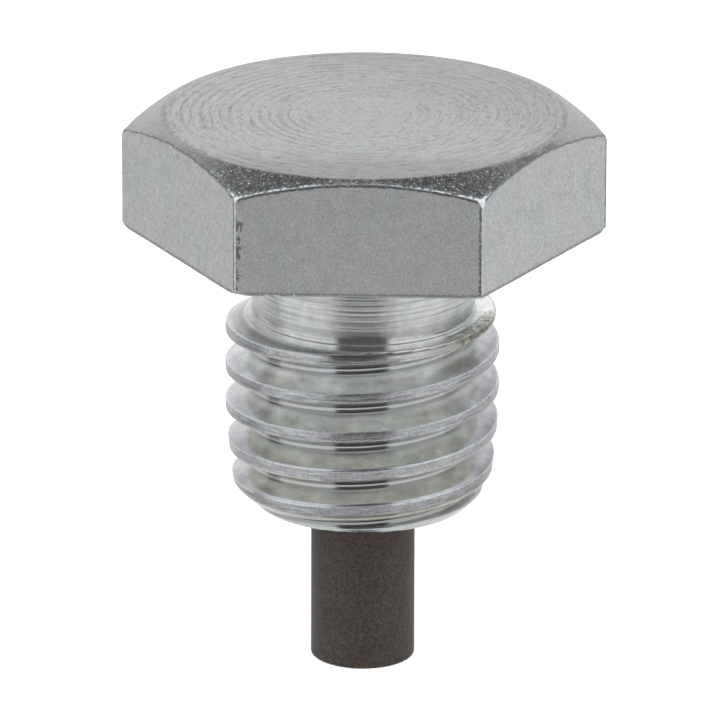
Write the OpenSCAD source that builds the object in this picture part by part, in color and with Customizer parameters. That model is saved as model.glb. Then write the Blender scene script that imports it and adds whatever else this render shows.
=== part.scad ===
// Magnetic drain plug: a turned and zinc plated hexagon head screw plug,
// with a magnet rod held in a blind bore in the end of its thread.
// The origin is on the axis, in the seat face under the head. The head is
// above it (+Z), the thread and the magnet below. A corner of the hexagon
// points along +X and a flat faces -Y. All sizes are in millimetres.

/* [Hexagon head] */
// Width across the flats of the hexagon
hex_af = 18; // [15:0.5:24]
// Height of the head, from the seat face to the flat top
head_h = 5.16; // [4:0.02:9]
// Diameter of the flat circle on top, inside the turned chamfer
crown_d = 17.36; // [12:0.02:17.6]
// Slope of the turned chamfer, from the horizontal
crown_angle = 26; // [15:1:30]

/* [Relief under the head] */
// Diameter of the turned relief between the head and the thread
neck_d = 9.6; // [8.4:0.05:9.8]
// Length of the relief, from the seat face to the start of the shoulder
neck_l = 3.55; // [2:0.05:5]
// Drop of the conical shoulder between the relief and the thread
shoulder_drop = 0.26; // [0.1:0.02:0.8]

/* [Thread] */
// Diameter over the crests of the right-hand thread
thread_d = 11.82; // [11.5:0.02:12.5]
// Pitch of the thread
thread_pitch = 1.75; // [1.6:0.05:2]
// Width of the flat crest
crest_w = 0.42; // [0.3:0.01:0.6]
// Width of the flat bottom of the groove
root_w = 0.2; // [0.1:0.01:0.3]
// Angle between the two flanks of the thread
flank_angle = 60; // [55:1:60]
// Depth of the +X side crest nearest to the shoulder, below the seat face
first_crest_z = 5.22; // [4.8:0.02:5.8]

/* [End of the thread] */
// Length from the seat face to the flat end of the thread
shank_l = 12.18; // [10:0.02:20]
// Length over which the crests taper, above the end chamfer
taper_l = 3.1; // [0.5:0.1:5]
// Diameter at the lower end of the taper, where the end chamfer starts
taper_d = 11.2; // [10.4:0.05:11.4]
// Length of the end chamfer along the axis
chamfer_l = 0.9; // [0.5:0.05:2]
// Diameter of the flat end, inside the end chamfer
end_d = 9.26; // [8:0.02:10]

/* [Magnet rod] */
// Diameter of the magnet rod
magnet_d = 4.5; // [3:0.1:6]
// Length of the magnet rod that stands out of the end of the thread
magnet_out = 7.26; // [3:0.02:12]
// Depth of the blind bore that holds the magnet rod
magnet_bore_depth = 6; // [3:0.1:9]
// Radial clearance between the magnet rod and its bore
magnet_clearance = 0.04; // [0.02:0.01:0.1]

/* [Hidden] */
$fn = 96;
// Steps of the groove in one turn of the thread
steps_per_turn = 48;
// How far the groove cutter reaches outside the crests
cutter_out = 0.12;
// How far cutters pass through the faces that they open
pass = 0.5;

hex_corner_r = hex_af / sqrt(3);
crown_r = crown_d / 2;
crown_drop = (hex_corner_r - crown_r) * tan(crown_angle);
neck_r = neck_d / 2;
thread_r = thread_d / 2;
shoulder_z = -neck_l - shoulder_drop;
taper_z = -shank_l + chamfer_l;

// The groove that cuts the thread: its half width grows with the radius
flank_slope = tan(flank_angle / 2);
groove_half_w = (thread_pitch - crest_w) / 2;
groove_depth = (groove_half_w - root_w / 2) / flank_slope;
root_r = thread_r - groove_depth;
cutter_r = thread_r + cutter_out;
cutter_half_w = groove_half_w + cutter_out * flank_slope;
// Height of the groove's middle on the +X side, above the first crest
groove_z = -first_crest_z + thread_pitch / 2;
// The groove runs from air in the relief to air past the end of the thread
top_step = ceil((shoulder_z + cutter_half_w - groove_z) / thread_pitch * steps_per_turn) + 3;
end_step = floor((-shank_l - cutter_half_w - groove_z) / thread_pitch * steps_per_turn) - 3;
ring_count = top_step - end_step + 1;

// Height of the groove's middle after a number of steps round the axis
function groove_height(step) = groove_z + thread_pitch * step / steps_per_turn;

// One corner of the groove's section, at a radius and a height beside its middle
function groove_corner(step, r, side) =
    let (angle = 360 * step / steps_per_turn)
    [r * cos(angle), r * sin(angle), groove_height(step) + side];

// The four corners of the groove's section at one step, from the root outwards
function groove_section(step) = [
    groove_corner(step, root_r, -root_w / 2),
    groove_corner(step, cutter_r, -cutter_half_w),
    groove_corner(step, cutter_r, cutter_half_w),
    groove_corner(step, root_r, root_w / 2)
];

// Hexagonal prism of the head, cut by the turned chamfer round its top
module head() {
    intersection() {
        cylinder(r = hex_corner_r, h = head_h, $fn = 6);
        rotate_extrude()
            polygon([
                [0, 0],
                [hex_corner_r + pass, 0],
                [hex_corner_r + pass, head_h - crown_drop - pass * tan(crown_angle)],
                [crown_r, head_h],
                [0, head_h]
            ]);
    }
}

// Turned blank of the shank: relief, shoulder, thread cylinder, taper and end chamfer
module shank_blank() {
    rotate_extrude()
        polygon([
            [0, pass],
            [neck_r, pass],
            [neck_r, -neck_l],
            [thread_r, shoulder_z],
            [thread_r, taper_z + taper_l],
            [taper_d / 2, taper_z],
            [end_d / 2, -shank_l],
            [0, -shank_l]
        ]);
}

// Helical V groove with a flat bottom, which leaves the thread standing
module thread_groove() {
    sections = [for (step = [end_step:top_step]) groove_section(step)];
    points = [for (section = sections) for (corner = section) corner];
    last = 4 * (ring_count - 1);
    walls = [
        for (ring = [0:ring_count - 2])
            for (side = [0:3])
                let (a = 4 * ring + side, b = 4 * ring + (side + 1) % 4)
                each [[a, b, b + 4], [a, b + 4, a + 4]]
    ];
    polyhedron(
        points = points,
        faces = concat([[3, 2, 1, 0]], walls, [[last, last + 1, last + 2, last + 3]])
    );
}

// Blind bore in the end of the thread, for the magnet rod
module magnet_bore() {
    translate([0, 0, -shank_l - pass])
        cylinder(r = magnet_d / 2 + magnet_clearance, h = magnet_bore_depth + pass);
}

// The whole turned plug, which is one piece
module plug_body() {
    color("#b4b8bb")
        difference() {
            union() {
                head();
                shank_blank();
            }
            thread_groove();
            magnet_bore();
        }
}

// Plain magnet rod, seated on the bottom of its bore
module magnet_rod() {
    color("#4a4542")
        translate([0, 0, -shank_l - magnet_out])
            cylinder(r = magnet_d / 2, h = magnet_out + magnet_bore_depth);
}

plug_body();
magnet_rod();
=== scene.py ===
"""Looks of a magnetic drain plug: zinc plated steel screw plug with a sintered magnet rod.

Everything is in metres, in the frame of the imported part: the origin is on the axis, in the
seat face under the head, +Z points at the head and a flat of the hexagon faces -Y.
"""

import math

import bmesh
import bpy
import numpy as np
from bpy.props import FloatProperty, FloatVectorProperty, IntProperty, PointerProperty
from mathutils import Matrix, Vector


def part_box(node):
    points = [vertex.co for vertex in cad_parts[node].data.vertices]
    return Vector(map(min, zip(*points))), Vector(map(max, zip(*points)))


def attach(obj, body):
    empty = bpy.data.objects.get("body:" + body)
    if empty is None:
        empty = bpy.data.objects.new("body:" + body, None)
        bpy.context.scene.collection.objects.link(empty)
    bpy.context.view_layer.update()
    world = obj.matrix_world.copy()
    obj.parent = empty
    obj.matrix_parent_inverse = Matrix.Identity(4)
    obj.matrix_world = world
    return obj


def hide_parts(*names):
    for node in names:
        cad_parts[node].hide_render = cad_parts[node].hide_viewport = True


bl_info = {
    "name": "Magnetic drain plug",
    "version": (1, 0, 0),
    "blender": (4, 5, 0),
    "location": "3D View > Sidebar > Drain plug",
    "description": "Builds the plated plug body, its magnet rod and a soft studio stage",
    "category": "Object",
}

MM = 0.001
# Angle between two corners of the hexagon
SECTOR = math.pi / 3
# Fillet between the relief and the underside of the head
HEAD_FILLET = 0.12 * MM
# Rise of the cut at the lower corners of the head, for each unit that it takes off
CORNER_CUT_SLOPE = 0.75
# Length of one flat of the hexagon between its rounded corners, in millimetres
FLAT_LENGTH = 10.378
# Rows of faces down the relief, and the depth of its deepest tool marks
NECK_ROWS = 84
TOOL_MARK = 0.009 * MM
# Share of the shoulder that is nearly flat, and how sharply it falls beyond that
SHOULDER_FLAT = 0.8
SHOULDER_POWER = 10
# Rounding where the thread form meets its root and the blank
THREAD_BLEND = 0.03 * MM
# Points closer than the first become one, and edges shorter than the second go
MERGE_GAP = 0.0005 * MM
SHORT_EDGE = 0.0002 * MM
# Gap that keeps the floor from lying in the plane of the magnet's end
FLOOR_GAP = 0.01 * MM
FLOOR_RADIUS = 1.2
# Place of the right lamp, and the side and power of both
LAMP_PLACE = (0.3, -0.16, 0.3)
LAMP_SIDE = 0.25
LAMP_POWER = 0.5
# Marks on the points of the plug body, first shares from 0 to 1, then distances in millimetres:
# across a crest from its middle, from the arris, from the lower rim and along the flat
MARKS = ("turned", "chamfer", "side", "neck", "groove", "crest", "root", "flank", "overhang", "thread",
         "burr", "shoulder", "shoulder_rim", "across", "from_arris", "from_rim", "along_flat")
# What the distances hold on rows that don't give them
FAR = {"from_arris": 9.0, "from_rim": 9.0, "along_flat": 5.0}
WHITE = (1, 1, 1, 1)

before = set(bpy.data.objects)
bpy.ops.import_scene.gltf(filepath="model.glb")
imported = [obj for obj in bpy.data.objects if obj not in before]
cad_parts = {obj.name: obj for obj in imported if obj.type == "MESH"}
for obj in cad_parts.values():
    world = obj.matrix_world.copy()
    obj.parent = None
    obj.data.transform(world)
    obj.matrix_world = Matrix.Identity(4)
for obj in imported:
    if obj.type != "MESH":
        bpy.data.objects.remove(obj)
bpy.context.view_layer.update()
BODY_LOW, BODY_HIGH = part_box("plug_body")
ROD_LOW, ROD_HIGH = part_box("magnet_rod")


# Settings that a user would change

def length(name, description, default):
    """A length in metres, as a setting."""
    return FloatProperty(name=name, description=description, default=default, unit="LENGTH")


def tilt(name, description, degrees):
    """An angle given in degrees, as a setting."""
    return FloatProperty(name=name, description=description, default=math.radians(degrees),
                         subtype="ANGLE")


def tone(name, description, default):
    """A colour, as a setting."""
    return FloatVectorProperty(name=name, description=description, default=default, subtype="COLOR",
                               size=3, min=0, max=1)


class PlugBodySettings(bpy.types.PropertyGroup):
    """Sizes of the plated plug body."""

    hex_af: length("Width across flats", "Size of the hexagon head", BODY_HIGH.y - BODY_LOW.y)
    head_h: length("Head height", "From the seat face to the flat top", BODY_HIGH.z)
    crown_d: length("Crown diameter", "Flat circle on top, inside the turned chamfer", 17.36 * MM)
    crown_angle: tilt("Chamfer slope", "Slope of the turned chamfer from the horizontal", 26)
    corner_r: length("Corner radius", "Rounding of the six upright edges", 0.11 * MM)
    rim_r: length("Rim radius", "Rounding of the lower rim of the head", 0.09 * MM)
    corner_cuts: FloatVectorProperty(
        name="Corner cuts", description="Radius to which each lower corner is worn, from +X round",
        default=[r * MM for r in (10.2, 10.2, 10.2, 10.24, 10.15, 10.34)], size=6, unit="LENGTH")
    thread_off: length("Thread run-out", "How far the thread stands off the axis, to the left", 0.05 * MM)
    run_in_depth: length("Run-in depth", "How much the first turn falls short, on the right", 0.17 * MM)
    arris_r: length("Arris radius", "Rounding between the flats and the chamfer", 0.08 * MM)
    crown_r: length("Crown edge radius", "Rounding between the chamfer and the flat top", 0.5 * MM)
    neck_d: length("Relief diameter", "Turned relief between the head and the thread", 9.6 * MM)
    neck_l: length("Relief length", "From the seat face to the shoulder", 3.63 * MM)
    neck_fillet: length("Relief fillet", "Rounding at the foot of the relief", 0.045 * MM)
    shoulder_drop: length("Shoulder drop", "Drop of the shoulder between the relief and the thread",
                          0.2 * MM)
    shank_l: length("Shank length", "From the seat face to the end of the thread", -BODY_LOW.z)
    thread_d: length("Thread diameter", "Diameter over the crests", 11.82 * MM)
    thread_pitch: length("Pitch", "Pitch of the right-hand thread", 1.75 * MM)
    crest_w: length("Crest width", "Width of the flat crest", 0.42 * MM)
    root_w: length("Root width", "Width of the bottom of the groove", 0.08 * MM)
    flank_angle: tilt("Upper flank angle", "Lean of the flank that faces the head", 30)
    overhang_angle: tilt("Lower flank angle", "Lean of the flank that faces the magnet", 25.6)
    root_lean: FloatProperty(
        name="Root lean", description="Slope of the bottom of the groove, down towards the head",
        default=0.115, min=0, max=0.5)
    first_crest_z: length("First crest", "Depth of the +X side crest nearest to the shoulder", 5.22 * MM)
    taper_l: length("Taper length", "Length over which the crests taper", 3.1 * MM)
    taper_d: length("Taper diameter", "Diameter where the end chamfer starts", 11.2 * MM)
    chamfer_l: length("End chamfer length", "Length of the end chamfer along the axis", 0.9 * MM)
    end_d: length("End diameter", "Flat end inside the end chamfer", 9.4 * MM)
    bore_clearance: length("Bore clearance", "Radial room round the magnet rod", 0.04 * MM)
    flat_columns: IntProperty(
        name="Columns on a flat", description="Columns of faces across one flat of the head",
        default=38, min=8)
    rows_per_pitch: IntProperty(
        name="Rows in a pitch", description="Rows of faces along one pitch of the thread",
        default=40, min=16)


class MagnetRodSettings(bpy.types.PropertyGroup):
    """Sizes of the magnet rod."""

    rod_r: length("Radius", "Radius of the magnet rod", ROD_HIGH.x)
    rim_r: length("Rim radius", "Rounding of the rim at the free end", 0.06 * MM)
    columns: IntProperty(
        name="Columns", description="Columns of faces round the rod", default=192, min=24)
    rows: IntProperty(
        name="Rows", description="Rows of faces along the rod", default=120, min=8)


class FinishSettings(bpy.types.PropertyGroup):
    """Colours of the two finishes."""

    zinc_cool: tone("Zinc, cool", "Plating colour where it looks blue", (0.552, 0.572, 0.58))
    zinc_warm: tone("Zinc, warm", "Plating colour where it looks straw", (0.572, 0.574, 0.56))
    zinc_olive: tone("Zinc, olive", "Plating on the lower flanks of the thread", (0.55, 0.565, 0.475))
    zinc_stain: tone("Zinc, stained", "Beige patch on top, by the front rim", (0.44, 0.43, 0.42))
    zinc_blue: tone("Zinc, blue", "Plating colour on the top face", (0.545, 0.56, 0.595))
    # Along the edges this colour paints shade; in specks it stands for thin plating
    zinc_dark: tone("Zinc, dark", "Thin plating, in specks and along edges", (0.1, 0.112, 0.125))
    # This colour paints highlights on the edges, the corners and the crest lips
    zinc_painted_highlight: tone("Zinc, worn", "Pale highlights on the edges", (0.86, 0.9, 0.96))
    rust: tone("Bare steel stain", "Chips along the upright edges", (0.075, 0.055, 0.045))
    magnet_base: tone("Magnet", "Sintered magnet", (0.034, 0.0265, 0.0205))
    magnet_grain: tone("Magnet grain", "Paler grains of the sintered magnet", (0.113, 0.0895, 0.077))


class StageSettings(bpy.types.PropertyGroup):
    """Place and lens of the camera."""

    camera_distance: length("Camera distance", "From the camera to the origin", 0.3947)
    camera_lens: FloatProperty(
        name="Lens", description="Focal length in millimetres on a 36 mm wide sensor",
        default=460.0, min=1)
    camera_height: tilt("Camera height angle", "How far the camera looks down", 18.95)
    camera_side: tilt("Camera side angle", "How far the camera stands to the right", 1.4)
    camera_roll: tilt("Camera roll", "Lean of the camera", math.degrees(0.003))
    aim: FloatVectorProperty(
        name="Aim", description="Point that the camera looks at",
        default=(-0.15 * MM, 0, -6.0 * MM), subtype="XYZ_LENGTH", unit="LENGTH", size=3)


# Helpers for meshes

def smoothstep(low, high, value):
    """Smooth share from 0 at one limit to 1 at the other."""
    t = np.clip((value - low) / (high - low), 0, 1)
    return t * t * (3 - 2 * t)


def smooth_min(a, b, blend):
    """The lower of two heights, with the corner between them rounded over a blend length."""
    h = np.clip(0.5 + 0.5 * (b - a) / blend, 0, 1)
    return b * (1 - h) + a * h - blend * h * (1 - h)


def smooth_max(a, b, blend):
    """The higher of two heights, with the corner between them rounded over a blend length."""
    return -smooth_min(-a, -b, blend)


def wavy(theta, seed, waves):
    """Smooth random value round the axis, about -1 to 1, which closes on itself."""
    random = np.random.default_rng(seed)
    total = np.zeros_like(theta)
    for wave in waves:
        total += random.normal() * np.cos(wave * theta + random.uniform(0, math.tau))
    return np.clip(total / math.sqrt(len(waves)), -3, 3)


def bridge(faces, starts, columns):
    """Faces between rows that close round the axis, from the numbers of their first points."""
    for first, second in zip(starts, starts[1:]):
        for a in range(columns):
            b = (a + 1) % columns
            faces.append((first + a, first + b, second + b, second + a))


def new_object(name, data):
    """An object in the scene, from its mesh, lamp or camera."""
    made = bpy.data.objects.new(name, data)
    bpy.context.scene.collection.objects.link(made)
    return made


def mesh_object(name, points, faces, attributes):
    """A smooth mesh with float attributes on its points."""
    mesh = bpy.data.meshes.new(name)
    mesh.from_pydata(points, [], faces)
    for key, values in attributes.items():
        layer = mesh.attributes.new(key, "FLOAT", "POINT")
        layer.data.foreach_set("value", np.asarray(values, np.float32))
    merge = bmesh.new()
    merge.from_mesh(mesh)
    bmesh.ops.remove_doubles(merge, verts=merge.verts, dist=MERGE_GAP)
    bmesh.ops.dissolve_degenerate(merge, edges=merge.edges, dist=SHORT_EDGE)
    bmesh.ops.recalc_face_normals(merge, faces=merge.faces)
    merge.to_mesh(mesh)
    merge.free()
    mesh.polygons.foreach_set("use_smooth", [True] * len(mesh.polygons))
    made = new_object(name, mesh)
    normals = made.modifiers.new("Face weighted normals", "WEIGHTED_NORMAL")
    normals.weight = 80
    return made


# Plug body

def hexagon_columns(size):
    """Angles of the columns round the head, the hexagon's radius and the way along the flat."""
    half_flat = size.hex_af / 2
    corner = size.hex_af / math.sqrt(3)
    centre = corner - size.corner_r / math.cos(math.radians(30))
    angles, radii = [], []
    for normal in np.radians([0, 10, 20, 30]):
        x = centre + size.corner_r * math.cos(normal)
        y = size.corner_r * math.sin(normal)
        angles.append(math.atan2(y, x))
        radii.append(math.hypot(x, y))
    bend = angles[-1]
    guard = 0.35 * bend
    for step in np.linspace(bend + guard, SECTOR - bend - guard, size.flat_columns):
        angles.append(step)
        radii.append(half_flat / math.cos(step - SECTOR / 2))
    for angle, radius in reversed(list(zip(angles[1:4], radii[1:4]))):
        angles.append(SECTOR - angle)
        radii.append(radius)
    angles, radii = np.array(angles), np.array(radii)
    steps = np.hypot(np.diff(radii * np.cos(angles)), np.diff(radii * np.sin(angles)))
    along = np.concatenate([[0], np.cumsum(steps)]) / MM
    turned = [angles + sector * SECTOR for sector in range(6)]
    return np.concatenate(turned), np.tile(radii, 6), np.tile(along, 6)


def head_rows(size, theta, hex_r):
    """Rows of the head from the relief out along the underside, up the flats and in over the top."""
    rows = []

    def add(r, z, **marks):
        rows.append((r, z, marks))

    # Fillet and underside, out to the lower rim, which is cut back at the worn corners
    neck_r = size.neck_d / 2
    rim_r = size.rim_r * (1 + 0.12 * wavy(theta, 3, range(5, 60, 4)))
    for angle in np.radians([180, 150, 120, 90]):
        add(neck_r + HEAD_FILLET * (1 + math.cos(angle)), -HEAD_FILLET * (1 - math.sin(angle)), turned=1)
    inner = neck_r + HEAD_FILLET
    nearest = np.round(theta / SECTOR).astype(int) % 6
    cut_r = np.array(size.corner_cuts)[nearest]
    cut_w = smooth_max(hex_r - cut_r, 0, 0.06 * MM)
    cut_h = cut_w * CORNER_CUT_SLOPE
    outer = hex_r - rim_r - cut_w
    for share in (0.12, 0.3, 0.6, 0.88, 0.985):
        add(inner + (outer - inner) * share, 0, turned=1)
    for angle in np.radians([-90, -60, -30, 0]):
        along = (1 + math.sin(angle))
        rise = (rim_r + cut_h) * along
        add(outer + rim_r * math.cos(angle) + cut_w * along, rise, from_rim=rise / MM)

    # Flats, up to the arris, which is rounder near the corners
    crown_r = size.crown_d / 2
    slope = math.tan(size.crown_angle)
    arris_z = size.head_h - (hex_r - crown_r) * slope
    sector = theta % SECTOR
    away = np.minimum(sector, SECTOR - sector)
    arris_r = size.arris_r * (1 + 3.6 * smoothstep(math.radians(5), math.radians(0.4), away))
    top = math.pi / 2 - size.crown_angle
    tangent = arris_r * math.tan(top / 2)
    side_low, side_high = rim_r * 1.3 + cut_h, arris_z - tangent * 1.3
    for share in (0, 0.05, 0.15, 0.3, 0.45, 0.6, 0.75, 0.88, 0.96, 1):
        z = side_low + (side_high - side_low) * share
        add(hex_r, z, side=1, from_arris=(arris_z - z) / MM, from_rim=z / MM)
    arc_r, arc_z = hex_r - arris_r, arris_z - tangent
    for i in range(5):
        angle = top * i / 4
        add(arc_r + arris_r * math.cos(angle), arc_z + arris_r * math.sin(angle),
            from_arris=tangent / MM * (1 - i / 2), side=max(0, 1 - i / 2), chamfer=max(0, i / 2 - 1))

    # Turned chamfer, its soft inner edge and the flat top
    cone_out = hex_r - tangent * math.cos(size.crown_angle) * 1.2
    soft = size.crown_r * math.tan(size.crown_angle / 2)
    cone_in = crown_r + soft * math.cos(size.crown_angle)
    cone_in = np.minimum(cone_in, cone_out - 0.02 * MM)
    lean = math.cos(size.crown_angle) * MM
    for share in (0, 0.15, 0.4, 0.7, 1):
        r = cone_out + (cone_in - cone_out) * share
        add(r, size.head_h - (r - crown_r) * slope, chamfer=1, from_arris=(r - hex_r) / lean)
    for i in range(1, 5):
        angle = size.crown_angle * (1 - i / 4)
        r = crown_r - soft + size.crown_r * math.sin(angle)
        z = size.head_h - size.crown_r * (1 - math.cos(angle))
        add(np.minimum(r, cone_in - 0.002 * MM * i), z, chamfer=1 - i / 4, turned=i / 4,
            from_arris=(r - hex_r) / lean)
    last = crown_r - soft
    for share in (0.985, 0.95, 0.88, 0.78, 0.66, 0.54, 0.42, 0.3, 0.2, 0.11, 0.04):
        add(last * share, size.head_h, turned=1)
    return rows


def neck_rows(size, theta):
    """Rows of the turned relief, with its tool marks, from under the head to its foot."""
    neck_r = size.neck_d / 2
    top, foot = -0.16 * MM, -size.neck_l + size.neck_fillet
    random = np.random.default_rng(11)
    marks = np.where(random.random(NECK_ROWS) < 0.3, random.uniform(0.25, 1, NECK_ROWS), 0)
    # The cut is rough near the head and fine near the foot, with a grey band and four deep lines
    numbers = np.arange(NECK_ROWS)
    spread = np.where(numbers < 50, 0.0048, np.where(numbers < 66, 0.0026, 0.0006)) * MM
    lean = random.normal(0, 1, NECK_ROWS) * spread
    marks[(numbers > 68) & (numbers < 78)] = 0.6
    marks[[7, 17, 18, 27]] = 1
    rows = []
    for row in range(NECK_ROWS):
        z = top + (foot - top) * row / (NECK_ROWS - 1)
        depth = marks[row] * TOOL_MARK * (1 + 0.35 * wavy(theta, 100 + row, (2, 3, 5)))
        rows.append((neck_r - depth + lean[row], z, {"neck": 1, "groove": marks[row]}))
    for i in range(1, 6):
        angle = math.pi + (math.pi / 2) * i / 5
        r = neck_r + size.neck_fillet * (1 + math.cos(angle))
        z = foot + size.neck_fillet * math.sin(angle)
        rows.append((r, z, {"neck": 1, "groove": 0.8}))
    for share in (0.04, 0.12, 0.22, 0.32, 0.42, 0.52, 0.6, 0.68, SHOULDER_FLAT):
        r, z = shoulder_point(size, share)
        form = thread_radius(size, thread_offset(size, theta, z))
        rows.append((smooth_min(r, form, THREAD_BLEND), z, {"neck": 1}))
    return rows


def shoulder_point(size, share):
    """Radius and height of the shoulder: flat near the relief, then falling towards its rim."""
    foot_r = size.neck_d / 2 + size.neck_fillet
    r = foot_r + (size.thread_d / 2 - foot_r) * share
    return r, -size.neck_l - size.shoulder_drop * share ** SHOULDER_POWER


def thread_offset(size, theta, z):
    """Distance along the axis from the middle of the nearest crest, positive below it."""
    pitch = size.thread_pitch
    turns = (-size.first_crest_z + pitch * theta / math.tau - z) / pitch
    return (turns - np.round(turns)) * pitch


def blank_radius(size, z):
    """Radius of the turned blank below the foot of the relief, as a function of height."""
    foot_r = size.neck_d / 2 + size.neck_fillet
    thread_r = size.thread_d / 2
    fall = np.maximum(-size.neck_l - z, 0) / size.shoulder_drop
    shoulder = foot_r + (thread_r - foot_r) * fall ** (1 / SHOULDER_POWER)
    taper_z = -size.shank_l + size.chamfer_l
    lean = (thread_r - size.taper_d / 2) / size.taper_l
    taper = size.taper_d / 2 + (z - taper_z) * lean
    steep = (size.taper_d - size.end_d) / 2 / size.chamfer_l
    end = size.end_d / 2 + (z + size.shank_l) * steep
    out = smooth_min(thread_r, taper, 0.08 * MM)
    out = smooth_min(out, end, 0.09 * MM)
    return smooth_min(out, shoulder, 0.06 * MM)


def thread_radius(size, offset):
    """Radius of the thread form, from the distance along the axis to the crest's middle."""
    thread_r = size.thread_d / 2
    slope = math.tan(size.flank_angle)
    half_groove = (size.thread_pitch - size.crest_w) / 2
    root_r = thread_r - (half_groove - size.root_w / 2) / slope
    lean = np.where(offset > 0, math.tan(size.overhang_angle), slope)
    flank = thread_r - (np.abs(offset) - size.crest_w / 2) / lean
    to_groove = np.clip(size.thread_pitch / 2 - offset, 0, 0.2 * MM)
    root = root_r + size.root_lean * to_groove * (offset > 0)
    form = smooth_min(thread_r, flank, 0.045 * MM)
    return smooth_max(form, root, THREAD_BLEND)


def shank_points(size, theta):
    """Grid of rows that follow the thread, held between the relief's foot and the flat end."""
    top_r, top = shoulder_point(size, SHOULDER_FLAT)
    bottom = -size.shank_l
    pitch = size.thread_pitch
    step = pitch / size.rows_per_pitch
    turns = math.ceil((size.shank_l - size.first_crest_z) / pitch) + 2
    s = np.arange(turns * size.rows_per_pitch + 1) / size.rows_per_pitch - 1
    z = -size.first_crest_z + pitch * theta[None, :] / math.tau - pitch * s[:, None]
    z = np.where(z > top - 0.4 * step, top, z)
    z = np.where(z < bottom + 0.4 * step, bottom, z)
    offset = thread_offset(size, theta[None, :], z)
    run_in = smoothstep(-size.neck_l - 1.25 * MM, -size.neck_l - 0.6 * MM, z)
    short = size.run_in_depth * run_in * smoothstep(0.1, 0.9, np.cos(theta + 0.45))
    form = thread_radius(size, offset)
    r = smooth_min(blank_radius(size, z) - short, form, THREAD_BLEND)
    # Small nicks along the crests, which differ from turn to turn
    nick = wavy(theta, 21, range(7, 90, 5))[None, :] * 0.006 * MM
    top_of_crest = r > size.thread_d / 2 - 0.12 * MM
    r = r + nick * top_of_crest * np.cos(np.round(s)[:, None] * 2.1 + 1)
    r = np.where(z >= top - 1e-9, smooth_min(top_r, form, THREAD_BLEND), r)
    r = np.where(z <= bottom + 1e-9, size.end_d / 2, r)
    return r, z, offset


def thread_marks(size, r, z, offset):
    """Marks of the crest, the root, the upper flank and the lower flank, on the grid of rows."""
    thread_r = size.thread_d / 2
    half = size.crest_w / 2
    on_thread = smoothstep(size.neck_l + 0.2 * MM, size.neck_l + 0.35 * MM, -z)
    crest = smoothstep(half + 0.05 * MM, half - 0.02 * MM, np.abs(offset)) * on_thread
    root = smoothstep(thread_r - 0.85 * MM, thread_r - 1.0 * MM, r) * on_thread
    slope = (1 - crest) * (1 - root)
    return {"crest": crest, "root": root, "flank": slope * (offset < 0) * on_thread,
            "overhang": slope * (offset > 0) * on_thread, "across": offset / MM}


def build_plug_body(size):
    """The plated body as one closed mesh of rows round the axis, from the top down to the bore."""
    theta, hex_r, along = hexagon_columns(size)
    columns = len(theta)
    points, faces = [], []
    values = {key: [] for key in MARKS}
    foot = size.neck_l

    def add_row(r, z, marks):
        """A row of points with its marks. Returns the number of its first point."""
        start = len(points)
        r, z = np.broadcast_to(r, theta.shape), np.broadcast_to(z, theta.shape)

        def below(low, high):
            """Smooth share between two depths under the relief's foot, in millimetres."""
            return smoothstep(foot + low * MM, foot + high * MM, -z)

        off = size.thread_off * below(0.1, 0.8)
        off = off * smoothstep(size.shank_l, size.shank_l - size.chamfer_l, -z)
        points.extend(zip(r * np.cos(theta) - off, r * np.sin(theta), z))
        marks["shoulder"] = below(-0.03, 0) * below(0.09, 0.03)
        marks["shoulder_rim"] = below(0.03, 0.09) * below(0.22, 0.14)
        marks["burr"] = (below(1.0, 0.75) * (-z > foot - 0.01 * MM)
                         * smoothstep(0.9, 0.97, np.cos(theta + 0.42)) * (r > 5.15 * MM))
        for key in MARKS:
            values[key].extend(np.broadcast_to(marks.get(key, FAR.get(key, 0.0)), theta.shape))
        return start

    def cap(row, z, upward):
        """A fan of faces that closes a row with a point on the axis."""
        centre = len(points)
        points.append((0, 0, z))
        for key in MARKS:
            values[key].append(1.0 if key == "turned" else FAR.get(key, 0.0))
        for a in range(columns):
            fan = (row + a, row + (a + 1) % columns, centre)
            faces.append(fan[::-1] if upward else fan)

    starts = []
    for r, z, marks in reversed(head_rows(size, theta, hex_r)):
        if "from_arris" in marks:
            marks["along_flat"] = along
        starts.append(add_row(r, z, marks))
    for r, z, marks in neck_rows(size, theta):
        starts.append(add_row(r, z, marks))
    bridge(faces, starts, columns)
    cap(starts[0], size.head_h, True)

    # Rows that climb with the thread. The end of each meets the start of the one a pitch higher
    r, z, offset = shank_points(size, theta)
    grids = thread_marks(size, r, z, offset)
    shank = []
    for row in range(len(z)):
        marks = {key: grid[row] for key, grid in grids.items()}
        shank.append(add_row(r[row], z[row], {"thread": 1.0, **marks}))
    bridge(faces, (starts[-1], shank[0]), columns)
    last = columns - 1
    for row, (upper, lower) in enumerate(zip(shank, shank[1:])):
        for a in range(last):
            faces.append((upper + a, upper + a + 1, lower + a + 1, lower + a))
        higher = row - size.rows_per_pitch
        if higher >= 0:
            faces.append((upper + last, shank[higher], shank[higher + 1], lower + last))

    # The flat end and the bore of the magnet rod
    bore_r = ROD_HIGH.x + size.bore_clearance
    end_w, bore_l = size.end_d / 2 - bore_r, ROD_HIGH.z + size.shank_l
    ends = [(bore_r + end_w * share, 0) for share in (1, 0.97, 0.7, 0.35, 0.04, 0)]
    ends += [(bore_r, bore_l * depth) for depth in (0.04, 0.3, 1)]
    ends = [add_row(r, -size.shank_l + rise, {"turned": 1}) for r, rise in ends]
    bridge(faces, ends, columns)
    cap(ends[-1], ROD_HIGH.z, False)
    return mesh_object("plug_body_plated", points, faces, values)


# Magnet rod

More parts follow.
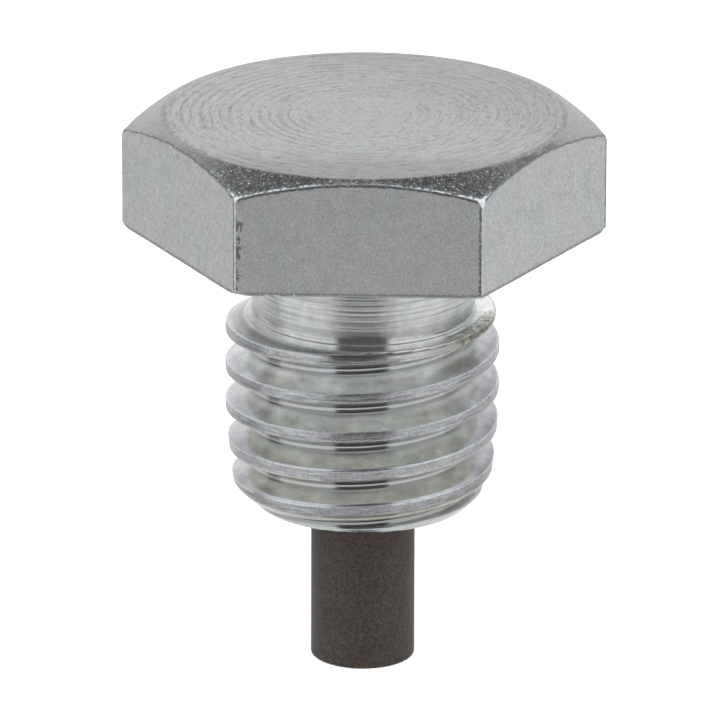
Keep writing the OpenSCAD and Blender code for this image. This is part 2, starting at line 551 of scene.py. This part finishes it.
def build_magnet_rod(size):
    """The rod as one closed mesh, with a rounded and slightly chipped rim at its free end."""
    theta = np.linspace(0, math.tau, size.columns, endpoint=False)
    points, faces, rim = [], [], []
    rod_l = ROD_HIGH.z - ROD_LOW.z
    chips = np.maximum(0, wavy(theta, 5, range(9, 80, 3)) - 0.7) * 0.03 * MM
    inner = size.rod_r - size.rim_r
    profile = [(size.rod_r * share, 0.0, 0) for share in (0.5, 0.9)]
    profile.append((inner * 0.995, 0.0, 0.5))
    for i in range(6):
        angle = -math.pi / 2 + math.pi / 2 * i / 5
        profile.append((inner + size.rim_r * math.cos(angle),
                        size.rim_r + size.rim_r * math.sin(angle), 1))
    start = size.rim_r * 1.4
    for row in range(size.rows + 1):
        profile.append((size.rod_r, start + (rod_l - start) * row / size.rows, 0))
    profile.append((size.rod_r * 0.5, rod_l, 0))
    starts = []
    for r, z, on_rim in profile:
        bite = chips * on_rim
        starts.append(len(points))
        points.extend(zip((r - bite) * np.cos(theta), (r - bite) * np.sin(theta),
                          ROD_LOW.z + z + bite * (z > 0)))
        rim.extend([on_rim] * len(theta))
    bridge(faces, starts, size.columns)
    for row, z in ((starts[0], 0.0), (starts[-1], rod_l)):
        centre = len(points)
        points.append((0, 0, ROD_LOW.z + z))
        rim.append(0)
        for a in range(len(theta)):
            faces.append((centre, row + a, row + (a + 1) % len(theta)))
    return mesh_object("magnet_rod_sintered", points, faces, {"rim": rim})


# Node helpers

class Wire:
    """A value in a node tree. Arithmetic with wires and numbers adds the nodes that do it."""

    def __init__(self, socket):
        self.socket = socket
        self.tree = socket.id_data

    def __add__(self, other):
        return maths("ADD", self, other)

    def __sub__(self, other):
        return maths("SUBTRACT", self, other)

    def __rsub__(self, other):
        return maths("SUBTRACT", other, self)

    def __mul__(self, other):
        return maths("MULTIPLY", self, other)

    def __truediv__(self, other):
        return maths("DIVIDE", self, other)

    def __rtruediv__(self, other):
        return maths("DIVIDE", other, self)

    __radd__ = __add__
    __rmul__ = __mul__


def tree_of(*values):
    """The node tree of the first wire among some values."""
    return next(value.tree for value in values if isinstance(value, Wire))


def link(value, socket):
    """Feed a socket from a wire, or set it to a number, a vector or a colour."""
    if isinstance(value, Wire):
        value.tree.links.new(value.socket, socket)
    else:
        socket.default_value = value


def node(tree, kind, inputs=None, **settings):
    """A node with its settings, and its inputs fed by name or number."""
    made = tree.nodes.new(kind)
    for key, value in settings.items():
        setattr(made, key, value)
    for key, value in (inputs or {}).items():
        link(value, made.inputs[key])
    return made


def wire(tree, kind, inputs=None, output=0, **settings):
    """The value that a new node gives."""
    return Wire(node(tree, kind, inputs, **settings).outputs[output])


def maths(operation, *values):
    """A sum, a product or another result of wires and numbers."""
    return wire(tree_of(*values), "ShaderNodeMath", dict(enumerate(values)), operation=operation)


def most_of(*masks):
    """The strongest of several masks."""
    total = masks[0]
    for other in masks[1:]:
        total = maths("MAXIMUM", total, other)
    return total


def ramp(value, low, high, to_low=0.0, to_high=1.0):
    """Smooth step of a value between two limits."""
    limits = {"Value": value, "From Min": low, "From Max": high, "To Min": to_low, "To Max": to_high}
    return wire(value.tree, "ShaderNodeMapRange", limits, interpolation_type="SMOOTHSTEP")


def split(vector):
    """The three values of a vector."""
    return [Wire(part) for part in node(vector.tree, "ShaderNodeSeparateXYZ", {0: vector}).outputs]


def combine(x, y, z):
    """A vector from three values."""
    return wire(tree_of(x, y, z), "ShaderNodeCombineXYZ", {0: x, 1: y, 2: z})


def stretch(place, factors):
    """A place with each direction scaled."""
    return wire(place.tree, "ShaderNodeVectorMath", {0: place, 1: factors}, operation="MULTIPLY")


def off_axis(x, y):
    """Distance from the axis, and the cosine of the angle round it from the front."""
    radius = maths("SQRT", x * x + y * y)
    return radius, y * -1.0 / maths("MAXIMUM", radius, 0.001)


def noise(place, scale, detail=2.0, rough=0.5):
    """Noise from 0 to 1 at a place."""
    return wire(place.tree, "ShaderNodeTexNoise",
                {"Vector": place, "Scale": scale, "Detail": detail, "Roughness": rough}, "Fac")


def mark(tree, name):
    """A float attribute of the mesh."""
    return wire(tree, "ShaderNodeAttribute", output="Fac", attribute_name=name)


def place_in_mm(tree):
    """The point on the object, in millimetres."""
    place = wire(tree, "ShaderNodeTexCoord", output="Object")
    return wire(tree, "ShaderNodeVectorMath", {0: place, "Scale": 1 / MM}, operation="SCALE")


def rgba(colour):
    """A colour as a node takes it."""
    return colour if isinstance(colour, Wire) else (*colour[:3], 1)


def mix_colour(share, a, b, blend="MIX"):
    """Two colours mixed by a share."""
    return wire(tree_of(share, a, b), "ShaderNodeMix", {0: share, 6: rgba(a), 7: rgba(b)}, 2,
                data_type="RGBA", blend_type=blend)


def shaded(colour, level):
    """A colour times a brightness."""
    grey = wire(level.tree, "ShaderNodeCombineColor", {0: level, 1: level, 2: level})
    return mix_colour(1.0, colour, grey, "MULTIPLY")


def bumped(strength, distance, height):
    """A normal that follows a fine relief."""
    return wire(height.tree, "ShaderNodeBump",
                {"Strength": strength, "Distance": distance, "Height": height})


def camera_or_other(tree, output, seen, other):
    """Give the camera one shader, and all other rays another one."""
    share = wire(tree, "ShaderNodeLightPath", output="Is Camera Ray")
    node(tree, output, {"Surface": wire(tree, "ShaderNodeMixShader", {0: share, 1: other, 2: seen})})


# Shared effects: each becomes a node group, with a place in millimetres and its sizes as inputs

def grain_and_specks(place, grain_size, speck_size, speck_share):
    """Fine grain and sparse specks of a surface."""
    grain = noise(place, 1 / grain_size, 3, 0.6)
    speck = noise(place, 1 / speck_size, 2, 0.55)
    limit = 0.78 - speck_share * 0.4
    return {"Grain": grain, "Specks": ramp(speck, limit, limit + 0.06)}


def slow_tint(place, size):
    """Slow change of tint and of shade over a surface."""
    scale = 1 / size
    tint = noise(place, scale, 3, 0.6)
    elsewhere = wire(place.tree, "ShaderNodeVectorMath", {0: place, 1: (17.3, 5.1, 9.7)},
                     operation="ADD")
    shade = noise(elsewhere, scale * 1.7, 3, 0.6)
    return {"Tint": ramp(tint, 0.35, 0.65), "Shade": ramp(shade, 0.3, 0.7)}


def turning_lines(place, lines_per_mm, dash_count):
    """Tool lines round the axis: long ones, short dashes and wide rings."""
    x, y, z = split(place)
    radius, _ = off_axis(x, y)
    safe = maths("MAXIMUM", radius, 0.001)
    # Grows outwards over a face and upwards along a cylinder
    way = radius + z

    def lines(breaks):
        """Lines that break up a number of times on the way round."""
        return noise(combine(x / safe * breaks, y / safe * breaks, way * lines_per_mm), 1.0, 2, 0.55)

    wobble = noise(place, 0.35, 1) * 0.6
    wave = maths("SINE", (way / 0.42 + wobble) * math.tau)
    kept = ramp(noise(place, 0.5, 2), 0.35, 0.6)
    return {"Long Lines": lines(1.6), "Dashes": lines(dash_count),
            "Rings": ramp(wave, 0.35, 1.0) * kept}


def ragged_line(place, distance, middle, half_width, chip_size, gaps, sway):
    """A thin ragged line along an edge, from the distance to that edge in millimetres."""
    chip = noise(place, 1 / chip_size, 3, 0.6)
    off = distance - middle + (chip - 0.5) * sway
    line = ramp(maths("ABSOLUTE", off) / half_width, 1.35, 0.65)
    low = 0.3 + gaps * 0.4
    return {"Line": line * ramp(chip, low, low + 0.08)}


def label(key):
    """The name of a group's input, from the name of an argument."""
    return key.replace("_", " ").title()


def new_group(name, build, sizes):
    """The node group of a shared effect."""
    group = bpy.data.node_groups.new(name, "ShaderNodeTree")
    group.interface.new_socket(name="Place", in_out="INPUT", socket_type="NodeSocketVector")
    for key in sizes:
        group.interface.new_socket(name=label(key), in_out="INPUT", socket_type="NodeSocketFloat")
    start = group.nodes.new("NodeGroupInput")
    values = build(**{key: Wire(start.outputs[label(key)]) for key in ("place", *sizes)})
    for key in values:
        group.interface.new_socket(name=key, in_out="OUTPUT", socket_type="NodeSocketFloat")
    node(group, "NodeGroupOutput", values)
    return group


def effect(build, place, **sizes):
    """The values of a shared effect at a place, from its group, which the first use makes."""
    name = build.__name__.replace("_", " ").capitalize()
    group = bpy.data.node_groups.get(name) or new_group(name, build, sizes)
    inputs = {"Place": place, **{label(key): value for key, value in sizes.items()}}
    made = node(place.tree, "ShaderNodeGroup", inputs, node_tree=group)
    return {socket.name: Wire(socket) for socket in made.outputs}


# Materials

def new_material(name):
    """A material, its node tree and its main shader."""
    material = bpy.data.materials.new(name)
    material.use_nodes = True
    return material, material.node_tree, material.node_tree.nodes["Principled BSDF"]


def zinc_material(finish):
    """Bright zinc plating with a clear passivate, over turned and drawn steel."""
    material, tree, shader = new_material("Zinc plated steel")
    (turned, chamfer, side, neck, groove, crest, root, flank, overhang, thread, burr, shoulder,
     shoulder_rim, across, from_arris, from_rim, along) = (mark(tree, key) for key in MARKS)
    place = place_in_mm(tree)
    x, y, height = split(place)
    radius, facing = off_axis(x, y)

    tint = effect(slow_tint, place, size=2.2)
    fine = effect(grain_and_specks, place, grain_size=0.085, speck_size=0.12, speck_share=0.22)
    coarse = effect(grain_and_specks, place, grain_size=0.12, speck_size=0.13, speck_share=0.66)
    top_lines = effect(turning_lines, place, lines_per_mm=8.0, dash_count=13.0)
    neck_lines = effect(turning_lines, place, lines_per_mm=13.0, dash_count=5.0)
    drawn = noise(stretch(place, (0.7, 1.0, 0.8)), 3.2, 4, 0.62)
    along_helix = combine(x * 1.1, y * 1.1 + height, across * 15.0)
    streaks = noise(along_helix, 1.0, 3, 0.6)
    flow = noise(stretch(along_helix, (0.85, 0.85, 0.16)), 1.0, 4, 0.62)
    mottle = noise(place, 2.6, 4, 0.6)

    # Regions of the surface. The limits are in millimetres, or cosines where they are on facing
    front = ramp(y, -8.3, -8.7)
    to_left, to_right = ramp(x, 0.0, -2.0), ramp(x, 0.0, 2.0)
    on_top = turned * ramp(height, 5.0, 5.1)
    stain = on_top * ramp(y, -4.5, -8.0) * 0.9
    ringed = turned * ramp(radius, 1.5, 3.2) * ramp(x, 2.0, -4.0, 0.45, 1.0)
    front_chamfer = chamfer * ramp(facing, 0.66, 0.8)
    # A band of painted highlight on the front chamfer, along the arris
    arris_highlight_band = front_chamfer * ramp(from_arris, -0.4, -0.2)
    # Painted shade on the front of the shoulder rim
    rim_front_shade = shoulder_rim * ramp(facing, 0.9, 0.97)
    first_turn = ramp(height, -3.5, -3.6) * ramp(radius, 5.0, 5.2)
    # Painted shade at the start of the thread, and on the left of the first turn
    thread_start_shade = first_turn * ramp(height, -4.25, -4.1) * ramp(x, 2.4, 3.6) * ramp(y, -0.3, -1.2)
    start_left_shade = first_turn * ramp(height, -4.0, -3.9) * to_left * ramp(facing, 0.65, 0.4)
    # Painted shade under the crest lip where it faces the front, and below the last turn
    lower_lip_shade = (thread * ramp(across, 0.17, 0.21) * ramp(across, 0.3, 0.26)
                 * ramp(facing, 0.95, 0.968))
    below_last_shade = thread * ramp(across, 0.12, 0.2) * ramp(height, -10.6, -10.8)
    # Painted light on the inner upper flanks; painted shade on the flank sides, more on the right
    inner_flank_light = flank * ramp(across, -0.5, -0.68) * ramp(height, -8.5, -5.5, 0.3, 1.0)
    side_flank_shade = flank * ramp(facing, 0.6, 0.4)
    right_flank_shade = side_flank_shade * to_right * ramp(across, -0.5, -0.34)
    olive = overhang * ramp(height, -3.0, -10.0, 0.5, 1.0) * ramp(height, -11.5, -11.2)
    calm = 1 - most_of(neck, thread * (1 - crest * 0.6)) * 0.8

    # Tints of the passivate
    colour = mix_colour(tint["Tint"], finish.zinc_cool, finish.zinc_warm)
    for share, other in ((stain, finish.zinc_stain),
                         (on_top * ramp(y, -6.0, -3.0) * 0.5, finish.zinc_blue),
                         (on_top * ramp(tint["Shade"], 0.45, 0.95) * 0.22, finish.zinc_stain),
                         (flank * 0.8, finish.zinc_blue),
                         (olive, finish.zinc_olive),
                         (crest * 0.55, finish.zinc_blue),
                         (burr * 0.7, finish.zinc_olive),
                         (front_chamfer, finish.zinc_cool)):
        colour = mix_colour(share, colour, other)

    # Brightness: grain and blotches that swing it round one, then what each region adds or takes, much of
    # it painted light and shade
    level = 1 + (fine["Grain"] - 0.5) * calm * 0.85
    for value, strength, mask in (
            (drawn, 0.34, side), (coarse["Grain"], 0.6, side), (coarse["Grain"], 1.0, chamfer),
            (coarse["Grain"], 1.4, front_chamfer), (coarse["Grain"], 0.2, crest),
            (coarse["Grain"], 0.5, turned), (mottle, 1.7, front_chamfer), (mottle, 0.3, flank),
            (mottle, 0.6, stain), (mottle, 3.2, burr), (mottle, 0.5, neck), (streaks, 1.7, crest),
            (flow, 1.0, most_of(flank, overhang)), (tint["Shade"], 0.05, 1.0)):
        level = level * (1 + (value - 0.5) * strength * mask)
    for mask, change in (
            # The second entry here is painted shade: turned faces darker towards the back right
            (turned, -0.15), (turned * ramp(x + y, 1.0, 9.0), -0.12), (stain, -0.1),
            (turned * ramp(top_lines["Dashes"], 0.5, 0.68), -0.32),
            (turned * ramp(top_lines["Long Lines"], 0.5, 0.66), -0.14),
            (ringed * top_lines["Rings"], -0.26),
            # Painted shade on the chamfer that faces the front, and a painted highlight in a band on it
            # along the arris
            (chamfer, -0.33), (front_chamfer, -0.32), (arris_highlight_band, 0.4),
            # Painted shade: the relief darker at its sides than at the front
            (neck, 0.16), (neck * ramp(facing, 0.5, 0.25), -0.1),
            (neck * ramp(neck_lines["Dashes"], 0.52, 0.68), -0.16),
            (neck * ramp(neck_lines["Long Lines"], 0.5, 0.66), -0.16),
            # Painted light on the shoulder, and painted shade on its left side
            (shoulder, 0.45), (shoulder * ramp(facing, 0.5, 0.2) * to_left, -0.2),
            # Painted shade at the front of the shoulder rim, at the start of the thread and on the left
            # of the first turn
            (shoulder_rim, -0.2), (rim_front_shade, -0.5), (thread_start_shade, -0.28), (start_left_shade, -0.2),
            # Painted shade under the crest lip at the front and below the last turn
            (burr, -0.22), (overhang, 0.12), (lower_lip_shade, -0.5), (below_last_shade, -0.3),
            # The second entry is painted shade: crests darker at their sides
            (crest, -0.2), (crest * ramp(facing, 0.75, 0.45), -0.1),
            (crest * ramp(height, -10.2, -10.6), -0.16),
            # Painted shade on the flank sides and more on the right, and painted light on the inner
            # flanks
            (side_flank_shade, -0.09), (right_flank_shade, -0.25), (inner_flank_light, 0.3),
            (flank * ramp(height, -6.2, -5.6), 0.08), (flank * ramp(height, -7.4, -8.4), -0.08)):
        level = level * (1 + mask * change)
    colour = shaded(colour, level)

    # Dark ragged lines along the edges, which paint shade on the rounded edges, specks, and a darker root
    # and tool marks
    to_flat_end = FLAT_LENGTH - along

    def line(distance, middle, half_width, chip_size, gaps, sway=0.12):
        """A ragged line at some distance from an edge."""
        return effect(ragged_line, place, distance=distance, middle=middle, half_width=half_width,
                      chip_size=chip_size, gaps=gaps, sway=sway)["Line"]

    crown_ring = (line(radius, 8.58, 0.12, 0.3, 0.2, 0.5) * ramp(height, 4.9, 5.0)
                  * ramp(facing, 0.9, 0.6) * ramp(facing, -0.3, 0.0))
    smudge = (chamfer * ramp(from_arris, -0.8, -0.35) * ramp(x, 6.2, 6.9) * ramp(x, 8.7, 8.0)
              * ramp(y, -2.5, -3.5) * ramp(mottle, 0.4, 0.55))
    dark = most_of(
        # The first five lines paint shade along the edges of the head, the lower rim and the crests
        line(from_arris, 0.06, 0.05, 0.16, 0.0, 0.2) * front * 0.8,
        line(from_arris, -0.02, 0.06, 0.3, 0.0, 0.3) * (1 - front) * 0.6,
        line(to_flat_end, 0.09, 0.045, 0.14, 0.05, 0.3) * side * 0.75,
        line(from_rim, 0.1, 0.08, 0.22, 0.1, 0.2) * 0.5,
        line(across, 0.06, 0.022, 0.6, 0.35) * crest * 0.5,
        crown_ring * 0.4, smudge * 0.55,
        coarse["Specks"] * most_of(front_chamfer, crest * 0.5) * 0.45,
        fine["Specks"] * 0.3, root * 0.15, groove * neck * 0.35)
    colour = mix_colour(dark, colour, finish.zinc_dark)

    # Painted highlights in light bare metal along the arris, at a front corner, on the upright edges, as
    # glints on the front chamfer and on the upper lip of the crest
    to_corner = maths("MINIMUM", along, to_flat_end)
    off_arris = maths("MAXIMUM", from_arris, from_arris * -2.0)
    corner_way = to_corner * 3.2 + off_arris * 2.4 + mottle * 0.8 + to_left * 0.3
    corner_highlight = ramp(corner_way, 1.3, 1.1) * front
    arris_highlight = (line(from_arris, -0.065, 0.052, 0.16, 0.34) * ramp(to_corner, 4.4, 2.6, 0.35, 1.0)
                  * front * (1 - turned))
    edge_highlight = line(to_corner, 0.0, 0.034, 0.25, 0.22) * side * ramp(x, 2.0, -2.0, 0.45, 1.0)
    glint_flecks = ramp(noise(place, 9.0, 2, 0.6), 0.61, 0.68) * front_chamfer * 0.8
    crest_lip_highlight = line(across, -0.235, 0.026, 0.2, 0.2, 0.05) * thread * 0.5
    painted_highlights = most_of(arris_highlight, corner_highlight, edge_highlight * 0.55, glint_flecks)
    colour = mix_colour(crest_lip_highlight, colour, finish.zinc_painted_highlight)
    colour = mix_colour(painted_highlights, colour, finish.zinc_painted_highlight)

    # Brown chips down the left edge of the front flat
    chip = noise(stretch(place, (1.0, 1.0, 0.6)), 3.4, 4, 0.66) - along * 0.7
    chips = (ramp(chip, 0.385, 0.425) * side * ramp(along, 0.03, 0.06) * ramp(from_arris, 0.5, 1.2)
             * front * to_left)
    link(mix_colour(chips * 0.85, colour, finish.rust), shader.inputs["Base Color"])
    # Painted highlights, rust chips and the painted light on the inner flanks are made less metallic
    link(1 - most_of(painted_highlights, chips, inner_flank_light * 0.7) * 0.75, shader.inputs["Metallic"])

    rough = 0.46 + fine["Grain"] * 0.1
    for mask, change in ((turned, -0.2), (neck, -0.36), (neck * ramp(height, -3.38, -3.26), 0.2),
                         (thread, -0.31), (crest, 0.1), (chamfer, -0.2), (root, -0.08)):
        rough = rough + mask * change
    link(rough, shader.inputs["Roughness"])

    relief = fine["Grain"] * calm * 0.9
    for mask, value, strength in (
            (chamfer, coarse["Grain"], 1.0), (front_chamfer, coarse["Grain"], 4.0),
            (crest, coarse["Grain"], 0.3), (crest, streaks, 1.4), (burr, mottle, 22.0),
            (turned, top_lines["Dashes"], 0.8), (turned, top_lines["Long Lines"], 0.6),
            (neck, neck_lines["Long Lines"], 0.8)):
        relief = relief + mask * value * strength
    link(bumped(0.5, 0.012 * MM, relief), shader.inputs["Normal"])
    return material


def magnet_material(finish):
    """Dark sintered magnet with a fine grain."""
    material, tree, shader = new_material("Sintered magnet")
    shader.inputs["Specular IOR Level"].default_value = 0.4
    place = place_in_mm(tree)
    tint = effect(slow_tint, place, size=1.6)
    surface = effect(grain_and_specks, place, grain_size=0.13, speck_size=0.16, speck_share=0.34)
    grain = surface["Grain"]
    share = maths("MINIMUM", surface["Specks"] * 0.4 + ramp(grain, 0.3, 0.7, 0.0, 0.7), 1.0)
    colour = mix_colour(share, finish.magnet_base, finish.magnet_grain)
    colour = shaded(colour, 0.82 + tint["Shade"] * 0.18)
    colour = mix_colour(mark(tree, "rim") * 0.25, colour, finish.magnet_grain)
    link(colour, shader.inputs["Base Color"])
    link(0.48 + grain * 0.25, shader.inputs["Roughness"])
    link(bumped(0.6, 0.02 * MM, grain), shader.inputs["Normal"])
    return material


def floor_material():
    """Plain pale floor, white to the camera apart from the object's shadow."""
    material, tree, _ = new_material("Pale floor")
    tree.nodes.clear()
    diffuse = wire(tree, "ShaderNodeBsdfDiffuse", {"Color": (0.86, 0.86, 0.86, 1)})
    glow = wire(tree, "ShaderNodeEmission", {"Color": WHITE, "Strength": 0.6})
    lifted = wire(tree, "ShaderNodeAddShader", {0: diffuse, 1: glow})
    camera_or_other(tree, "ShaderNodeOutputMaterial", lifted, diffuse)
    return material


# Stage

def build_world():
    """Studio surroundings: white to the camera, and zones of light for the metal to reflect."""
    world = bpy.data.worlds.new("Studio")
    bpy.context.scene.world = world
    world.use_nodes = True
    tree = world.node_tree
    tree.nodes.clear()
    x, y, z = split(wire(tree, "ShaderNodeTexCoord", output="Generated"))
    _, ahead = off_axis(x, y)

    def azimuth(outer, inner):
        """Share that rises from one angle off the front to a smaller one, in degrees."""
        return ramp(ahead, math.cos(math.radians(outer)), math.cos(math.radians(inner)))

    def elevation(low, high):
        """Share that rises from one angle over the horizon to a higher one, in degrees."""
        return ramp(z, math.sin(math.radians(low)), math.sin(math.radians(high)))

    def towards(level, share, other):
        """A brightness moved towards another one by a share."""
        return level * (1 - share) + share * other

    # From behind to the front: white, pale grey, low gaps, soft boxes at the sides, a dark front
    gap = towards(0.66, ramp(x, 0.1, -0.1), 0.32)
    level = 1.0
    for share, other in ((azimuth(155, 145), 0.88),
                         (azimuth(162, 152) * ramp(z, 0.15, 0.35), 0.8),
                         (azimuth(114, 110) * ramp(z, 0.1, -0.1), gap),
                         (azimuth(95, 90), 0.98),
                         (azimuth(29, 25), 0.14)):
        level = towards(level, share, other)
    # A pale floor below, and a dark patch overhead towards the back
    level = towards(0.97, elevation(-28, -22), level)
    overhead = elevation(38, 50) * ramp(maths("ABSOLUTE", x), 0.5, 0.36) * ramp(y, 0.08, 0.18)
    level = towards(level, overhead, 0.15)
    around = wire(tree, "ShaderNodeBackground", {"Color": WHITE, "Strength": level})
    white = wire(tree, "ShaderNodeBackground", {"Color": WHITE, "Strength": 1.0})
    camera_or_other(tree, "ShaderNodeOutputWorld", white, around)


def area_lamp(name, place):
    """A square lamp that looks at the origin."""
    data = bpy.data.lights.new(name, "AREA")
    data.shape = "RECTANGLE"
    data.size = LAMP_SIDE
    data.size_y = LAMP_SIDE
    data.energy = LAMP_POWER
    lamp = new_object(name, data)
    lamp.location = place
    lamp.rotation_mode = "QUATERNION"
    lamp.rotation_quaternion = (-Vector(place)).to_track_quat("-Z", "Y")
    lamp.visible_glossy = False


def build_camera(settings):
    """Camera at the photograph's viewing angle."""
    data = bpy.data.cameras.new("Camera")
    data.lens = settings.camera_lens
    data.sensor_width = 36.0
    data.clip_start = 0.01
    data.clip_end = 10.0
    camera = new_object("Camera", data)
    bpy.context.scene.camera = camera
    height, side = settings.camera_height, settings.camera_side
    away = Vector((math.cos(height) * math.sin(side), -math.cos(height) * math.cos(side),
                   math.sin(height)))
    camera.location = away * settings.camera_distance
    look = (Vector(settings.aim) - camera.location).to_track_quat("-Z", "Y").to_matrix()
    turn = Matrix.Rotation(settings.camera_roll, 3, "Z")
    camera.rotation_mode = "QUATERNION"
    camera.rotation_quaternion = (look @ turn).to_quaternion()


def build_floor():
    """Round floor under the magnet rod's end."""
    count = 96
    angles = [math.tau * i / count for i in range(count)]
    mesh = bpy.data.meshes.new("Floor")
    mesh.from_pydata([(FLOOR_RADIUS * math.cos(a), FLOOR_RADIUS * math.sin(a), 0) for a in angles], [],
                     [tuple(range(count))])
    floor = new_object("Floor", mesh)
    floor.location = (0, 0, ROD_LOW.z - FLOOR_GAP)
    floor.data.materials.append(floor_material())
    floor.visible_glossy = False
    return floor


# Operators, one for each piece and one for the stage

class DRAINPLUG_OT_plug_body(bpy.types.Operator):
    """Build the zinc plated plug body with its hexagon head, relief and thread"""

    bl_idname = "drainplug.plug_body"
    bl_label = "Plug body"

    def execute(self, context):
        scene = context.scene
        body = build_plug_body(scene.plug_body)
        body.data.materials.append(zinc_material(scene.plug_finish))
        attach(body, "root")
        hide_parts("plug_body")
        return {"FINISHED"}


class DRAINPLUG_OT_magnet_rod(bpy.types.Operator):
    """Build the sintered magnet rod in the end of the thread"""

    bl_idname = "drainplug.magnet_rod"
    bl_label = "Magnet rod"

    def execute(self, context):
        scene = context.scene
        rod = build_magnet_rod(scene.magnet_rod)
        rod.data.materials.append(magnet_material(scene.plug_finish))
        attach(rod, "root")
        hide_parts("magnet_rod")
        return {"FINISHED"}


class DRAINPLUG_OT_stage(bpy.types.Operator):
    """Build the floor, the lamps, the surroundings and the camera"""

    bl_idname = "drainplug.stage"
    bl_label = "Stage"

    def execute(self, context):
        build_floor()
        build_world()
        build_camera(context.scene.plug_stage)
        context.scene.view_settings.view_transform = "Standard"
        right, front, up = LAMP_PLACE
        area_lamp("Left box", (-right, front, up))
        area_lamp("Right box", (right, front, up))
        return {"FINISHED"}


class DRAINPLUG_PT_panel(bpy.types.Panel):
    """Panel that lists what can be built"""

    bl_idname = "DRAINPLUG_PT_panel"
    bl_label = "Drain plug"
    bl_space_type = "VIEW_3D"
    bl_region_type = "UI"
    bl_category = "Drain plug"

    def draw(self, context):
        layout = self.layout
        for operator in OPERATORS:
            layout.operator(operator.bl_idname)
        for name in SETTINGS:
            group = getattr(context.scene, name)
            box = layout.box()
            for key in group.bl_rna.properties.keys():
                if key not in ("rna_type", "name"):
                    box.prop(group, key)


OPERATORS = (DRAINPLUG_OT_plug_body, DRAINPLUG_OT_magnet_rod, DRAINPLUG_OT_stage)
SETTINGS = {"plug_body": PlugBodySettings, "magnet_rod": MagnetRodSettings,
            "plug_finish": FinishSettings, "plug_stage": StageSettings}
CLASSES = (*SETTINGS.values(), *OPERATORS, DRAINPLUG_PT_panel)


def register():
    for item in CLASSES:
        bpy.utils.register_class(item)
    for name, group in SETTINGS.items():
        setattr(bpy.types.Scene, name, PointerProperty(type=group))


def unregister():
    for name in SETTINGS:
        delattr(bpy.types.Scene, name)
    for item in reversed(CLASSES):
        bpy.utils.unregister_class(item)


def main():
    register()
    bpy.ops.drainplug.plug_body()
    bpy.ops.drainplug.magnet_rod()
    bpy.ops.drainplug.stage()


if __name__ == "__main__":
    main()
